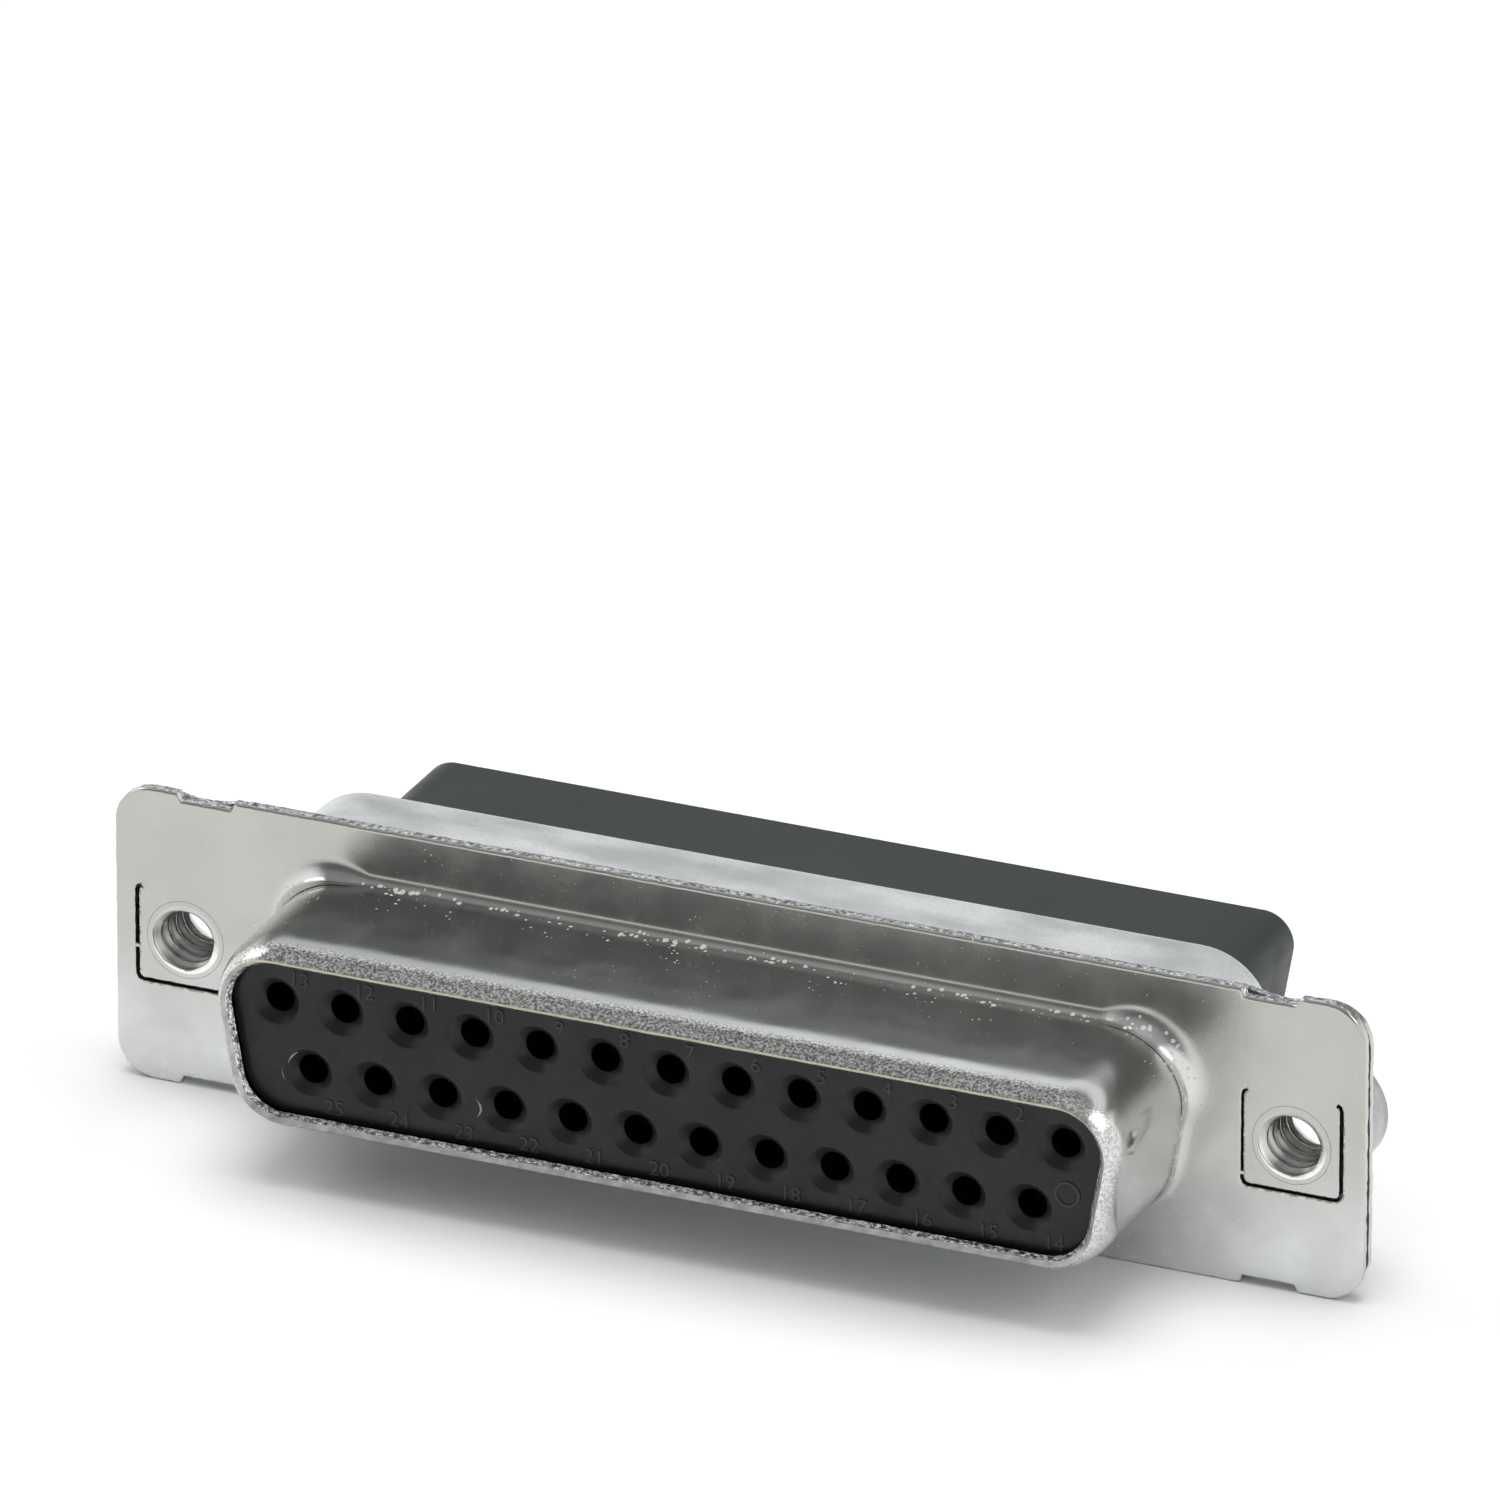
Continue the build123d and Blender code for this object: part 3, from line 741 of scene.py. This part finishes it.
lip_loops = [add_loop(mesh, roughen(dee(boss_size, -boss_gap - reach), 0.008), depth)
             for reach, depth in ((0.2, box_end), (0.05, box_end), (0, box_end - 0.06),
                                  (0, box_end - sheet + 0.03), (0.03, box_end - sheet))]
inner_loops = [add_loop(mesh, dee(box_size, inset), depth) for inset, depth in inside]
wall(mesh, outer_loops + lip_loops[:3])
wall(mesh, lip_loops[2:4], 1)
wall(mesh, lip_loops[3:] + inner_loops)
fill(mesh, back_rings + ring(mesh, outer_loops[0]))
fill(mesh, front_rings + ring(mesh, inner_loops[-1]))
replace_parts(finish_piece("rear_shell_skin", mesh, [dull_tin, cut_edge, torn_edge, painted_shade_wall, dull_tin]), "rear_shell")

# The threaded inserts are turned and plated bushes for 4-40 screws. Each one's neck passes through both
# flanges and is flared at its mouth, and its barrel stands behind them.
thread_pitch, thread_minor, thread_major = 0.635, 1.13, 1.42
mouth_flare, mouth_depth, neck_radius = 0.32, 0.18, 1.642
barrel_radius, barrel_end, barrel_edge = 2.43, 4.1, 0.2
sink_radius, sink_depth = 1.9, 1.35

insert_plate, nodes, links, shader, place = start_material("insert_plate", (0.72, 0.72, 0.70), 0.3, 1.0)
cloud = add_noise(nodes, links, place, 1.2, 4)
plate = add_mix(nodes, links, cloud, (0.52, 0.515, 0.49), (0.66, 0.66, 0.65))
axes = nodes.new("ShaderNodeSeparateXYZ")
links.new(place, axes.inputs["Vector"])
off_axis = add_math(nodes, links, "SUBTRACT", add_math(nodes, links, "ABSOLUTE", axes.outputs["X"], 0),
                    screw_places["right"] * mm)
radius = add_math(nodes, links, "SQRT",
                  add_math(nodes, links, "ADD", add_math(nodes, links, "POWER", off_axis, 2),
                           add_math(nodes, links, "POWER", axes.outputs["Z"], 2)), 0)
# Deeper than the mouth, the thread roots are painted dark: painted shade.
root = add_math(nodes, links, "MULTIPLY", add_range(nodes, links, radius, 1.26 * mm, 1.38 * mm, 0.0, 1.0),
                add_range(nodes, links, radius, 1.45 * mm, 1.5 * mm, 1.0, 0.0))
deep = add_range(nodes, links, axes.outputs["Y"], 0.12 * mm, 0.25 * mm, 0.0, 1.0)
# The lower part of the flared mouth is painted near white: a painted highlight.
painted_mouth_highlight = add_math(nodes, links, "MULTIPLY", add_range(nodes, links, deep, 0.0, 1.0, 1.0, 0.0),
                add_range(nodes, links, axes.outputs["Z"], 0.1 * mm, -0.6 * mm, 0.0, 1.0))
plate = add_mix(nodes, links, painted_mouth_highlight, plate, (0.95, 0.94, 0.91))
plate = add_mix(nodes, links, add_range(nodes, links, radius, 2.0 * mm, 2.2 * mm, 0.0, 1.0),
                plate, (0.40, 0.41, 0.42))
links.new(add_mix(nodes, links, add_math(nodes, links, "MULTIPLY", root, deep), plate, (0.05, 0.047, 0.043)),
          shader.inputs["Base Color"])
links.new(add_range(nodes, links, cloud, 0.35, 0.65, 0.2, 0.36), shader.inputs["Roughness"])
turning = add_bump(nodes, links, shader, add_noise(nodes, links, place, 0.07, 3, (0.03, 1, 0.03)), 0.006)
add_bump(nodes, links, shader, add_noise(nodes, links, place, 0.1, 3), 0.004, turning)


def bore_radius(y, turn):
    """Radius of the tapped bore at a depth and a share of a turn: its thread, mouth or sink, the widest."""
    ramp = 1 - abs(2 * ((y / thread_pitch - turn) % 1.0) - 1)
    radius = thread_minor + (thread_major - thread_minor) * min(1.0, max(0.0, (ramp - 0.12) / 0.8))
    if y < mouth_depth:
        radius = max(radius, thread_minor + mouth_flare * (1 - math.sqrt(1 - (1 - y / mouth_depth)**2)))
    from_end = (barrel_end - y) / sink_depth
    return max(radius, sink_radius - from_end * (sink_radius - thread_minor))


for side, centre in screw_places.items():
    mesh = bmesh.new()
    shares = [k / 96 for k in range(96)]
    rounds = [(math.cos(2 * math.pi * share), math.sin(2 * math.pi * share)) for share in shares]
    depths = [0.0, 0.004, 0.015, 0.035, 0.065, 0.1] + [0.1 + 4.0 * k / 84 for k in range(1, 85)]
    loops = [add_loop(mesh, [(centre + radius * c, radius * s) for c, s in rounds], depth)
             for radius, depth in ((neck_radius, 2 * sheet), (neck_radius, 0.02), (neck_radius - 0.005, 0.0))]
    loops += [add_loop(mesh, [(centre + bore_radius(y, share) * c, bore_radius(y, share) * s)
                              for share, (c, s) in zip(shares, rounds)], y) for y in depths]
    loops += [add_loop(mesh, [(centre + radius * c, radius * s) for c, s in rounds], depth)
              for radius, depth in ((sink_radius + 0.03, barrel_end),
                                    (barrel_radius - barrel_edge, barrel_end),
                                    (barrel_radius - 0.04, barrel_end - 0.13),
                                    (barrel_radius, barrel_end - barrel_edge),
                                    (barrel_radius, 2 * sheet + 0.08), (barrel_radius - 0.06, 2 * sheet))]
    wall(mesh, loops[:2] + loops[2:3])
    wall(mesh, loops[2:4], 1)
    wall(mesh, loops[3:] + loops[:1])
    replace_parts(finish_piece(f"insert_{side}", mesh, [insert_plate, tin], 50),
                f"threaded_insert_{side}")

# The studio: a white table under an even soft ceiling, with a softbox at each side. Reflections see a bright
# strip above and behind, a pale horizon and dark walls, and the table is seen a little whiter than it lights.
floor_reach = 3.0


def add_seen_share(nodes, links):
    """One where the camera, a reflection or a clear material looks, and zero for diffuse light."""
    path = nodes.new("ShaderNodeLightPath")
    share = add_math(nodes, links, "MAXIMUM", path.outputs["Is Camera Ray"], path.outputs["Is Glossy Ray"])
    return add_math(nodes, links, "MAXIMUM", share, path.outputs["Is Transmission Ray"])


ground = cad_bounds[0].z - 0.012 * mm
floor_mesh = bpy.data.meshes.new("floor")
floor_mesh.from_pydata([(-floor_reach, -floor_reach, ground), (floor_reach, -floor_reach, ground),
                        (floor_reach, floor_reach, ground), (-floor_reach, floor_reach, ground)],
                       [], [(0, 1, 2, 3)])
floor = bpy.data.objects.new("floor", floor_mesh)
bpy.context.scene.collection.objects.link(floor)
paper, nodes, links, shader, place = start_material("white_paper", (0.95, 0.95, 0.95), 0.9)
shader.inputs["Specular IOR Level"].default_value = 0.1
links.new(add_mix(nodes, links, add_seen_share(nodes, links), (0.95, 0.95, 0.95), (1.22, 1.22, 1.22)),
          shader.inputs["Base Color"])
floor_mesh.materials.append(paper)

world = bpy.data.worlds.new("studio")
bpy.context.scene.world = world
world.use_nodes = True
nodes, links = world.node_tree.nodes, world.node_tree.links
direction = nodes.new("ShaderNodeTexCoord")
split = nodes.new("ShaderNodeSeparateXYZ")
links.new(direction.outputs["Generated"], split.inputs["Vector"])
skies = []
for levels in (((0.0, 0.0), (0.35, 0.02), (0.6, 0.25), (0.93, 0.7), (1.0, 4.6)),
               ((0.0, 0.0), (0.3, 0.02), (0.5, 0.2), (0.88, 0.5), (0.94, 2.6), (1.0, 5.0)),
               ((0.0, 0.9), (0.09, 0.85), (0.24, 0.18), (0.56, 0.18), (0.8, 0.36), (1.0, 0.36)),
               ((0.0, 0.9), (0.09, 0.85), (0.24, 0.18), (0.54, 0.18), (0.59, 0.9), (0.75, 0.9), (0.79, 0.12),
                (0.87, 0.36), (1.0, 0.36))):
    ramp = nodes.new("ShaderNodeValToRGB")
    stops = ramp.color_ramp.elements
    while len(stops) < len(levels):
        stops.new(1.0)
    for stop, (position, level) in zip(stops, levels):
        stop.position, stop.color = position, (level, level, level, 1)
    links.new(split.outputs["Z"], ramp.inputs["Fac"])
    skies.append(ramp.outputs["Color"])
behind = add_range(nodes, links, split.outputs["Y"], -0.15, 0.15, 0.0, 1.0)
lights = add_mix(nodes, links, behind, skies[0], skies[1])
reflections = add_mix(nodes, links, behind, skies[2], skies[3])
sideways = add_math(nodes, links, "ABSOLUTE", split.outputs["X"], 0)
reflections = add_mix(nodes, links, add_range(nodes, links, sideways, 0.55, 0.72, 0.0, 1.0), reflections,
                      (1.05, 1.05, 1.05))
links.new(add_mix(nodes, links, add_seen_share(nodes, links), lights, reflections),
          nodes["Background"].inputs["Color"])

for name, size, place, power in (("left", 0.7, (-1.15, 0.3, 1.0), 3.0),
                                 ("right", 0.7, (1.15, 0.3, 1.0), 3.0)):
    lamp = bpy.data.lights.new(name, "AREA")
    lamp.size = size
    lamp.energy = power
    holder = bpy.data.objects.new(name, lamp)
    holder.location = place
    holder.rotation_mode = "QUATERNION"
    holder.rotation_quaternion = (-Vector(place)).to_track_quat("-Z", "Y")
    bpy.context.scene.collection.objects.link(holder)

# The camera looks from the front right and from above, through a long lens, as in the photograph.
azimuth, elevation = math.radians(23.65), math.radians(24.4)
lens = 600
pixels_per_mm = 25.68
origin_pixel = (733.6, 1041.9)
back = Vector((math.sin(azimuth) * math.cos(elevation), -math.cos(azimuth) * math.cos(elevation),
               math.sin(elevation)))
right = Vector((math.cos(azimuth), math.sin(azimuth), 0))
up = back.cross(right)
aim = (up * (origin_pixel[1] - 750) - right * (origin_pixel[0] - 750)) / pixels_per_mm * mm
camera_data = bpy.data.cameras.new("camera")
camera_data.lens = lens
camera_data.sensor_width = 36
camera_data.clip_start, camera_data.clip_end = 0.01, 20
camera = bpy.data.objects.new("camera", camera_data)
camera.location = aim + back * (1500 / pixels_per_mm * mm * lens / 36)
camera.rotation_mode = "QUATERNION"
camera.rotation_quaternion = (-back).to_track_quat("-Z", "Y")
bpy.context.scene.collection.objects.link(camera)
bpy.context.scene.camera = camera
bpy.context.scene.view_settings.view_transform = "Standard"
